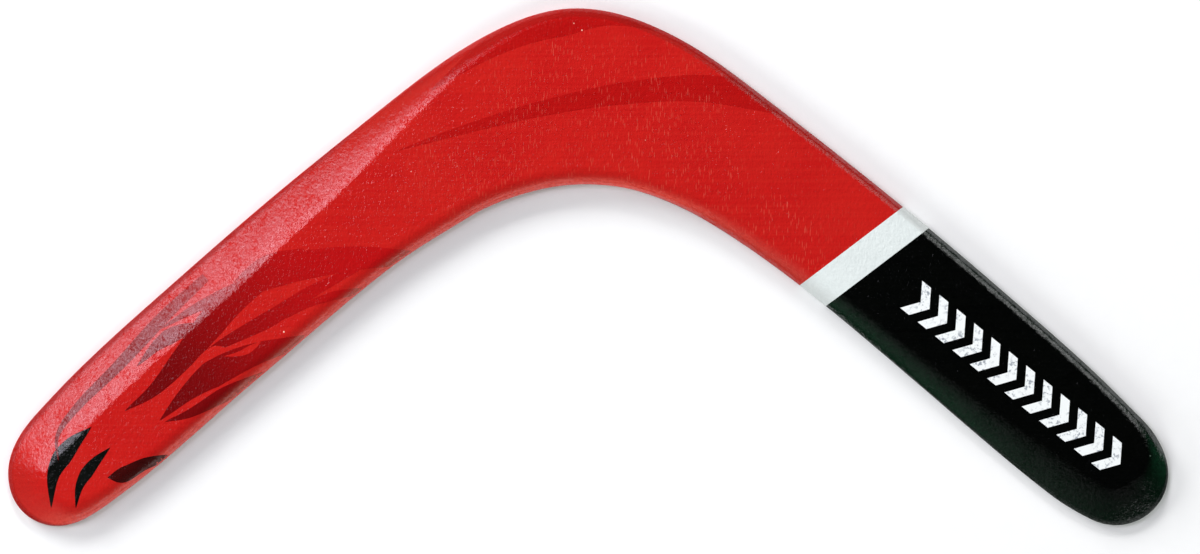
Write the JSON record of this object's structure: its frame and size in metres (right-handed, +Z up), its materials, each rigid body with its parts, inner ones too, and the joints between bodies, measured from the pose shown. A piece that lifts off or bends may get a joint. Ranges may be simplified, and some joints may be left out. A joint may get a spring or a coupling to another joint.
{
  "type": "boomerang",
  "caption": "Wide-V returning boomerang carved from birch plywood, flat underneath with a bevelled upper side, painted red with a white band and a black tip.",
  "frame": {"origin": "middle of the bounding box in plan, on the flat underside", "axes": "+X along the span from the red tip to the black tip, +Y towards the elbow, +Z up from the flat underside"},
  "size_m": [0.4, 0.1784, 0.0063],
  "materials": {
    "face_veneer": "rotary-cut birch, grain along Y",
    "cross_veneer": "rotary-cut birch, grain along X",
    "core_veneer": "rotary-cut birch, grain along Y",
    "glue": "cured brown resin film",
    "red_paint": "satin-gloss sprayed lacquer with darker red print",
    "white_paint": "satin-gloss sprayed lacquer",
    "black_paint": "satin sprayed lacquer with white print"
  },
  "bodies": {
    "root": {"bottom_face_veneer": "face_veneer", "glue_line_1": "glue", "lower_cross_veneer": "cross_veneer", "glue_line_2": "glue", "core_veneer": "core_veneer", "glue_line_3": "glue", "upper_cross_veneer": "cross_veneer", "glue_line_4": "glue", "top_face_veneer": "face_veneer", "red_coat": "red_paint", "white_band": "white_paint", "black_tip_coat": "black_paint"}
  },
  "joints": []
}
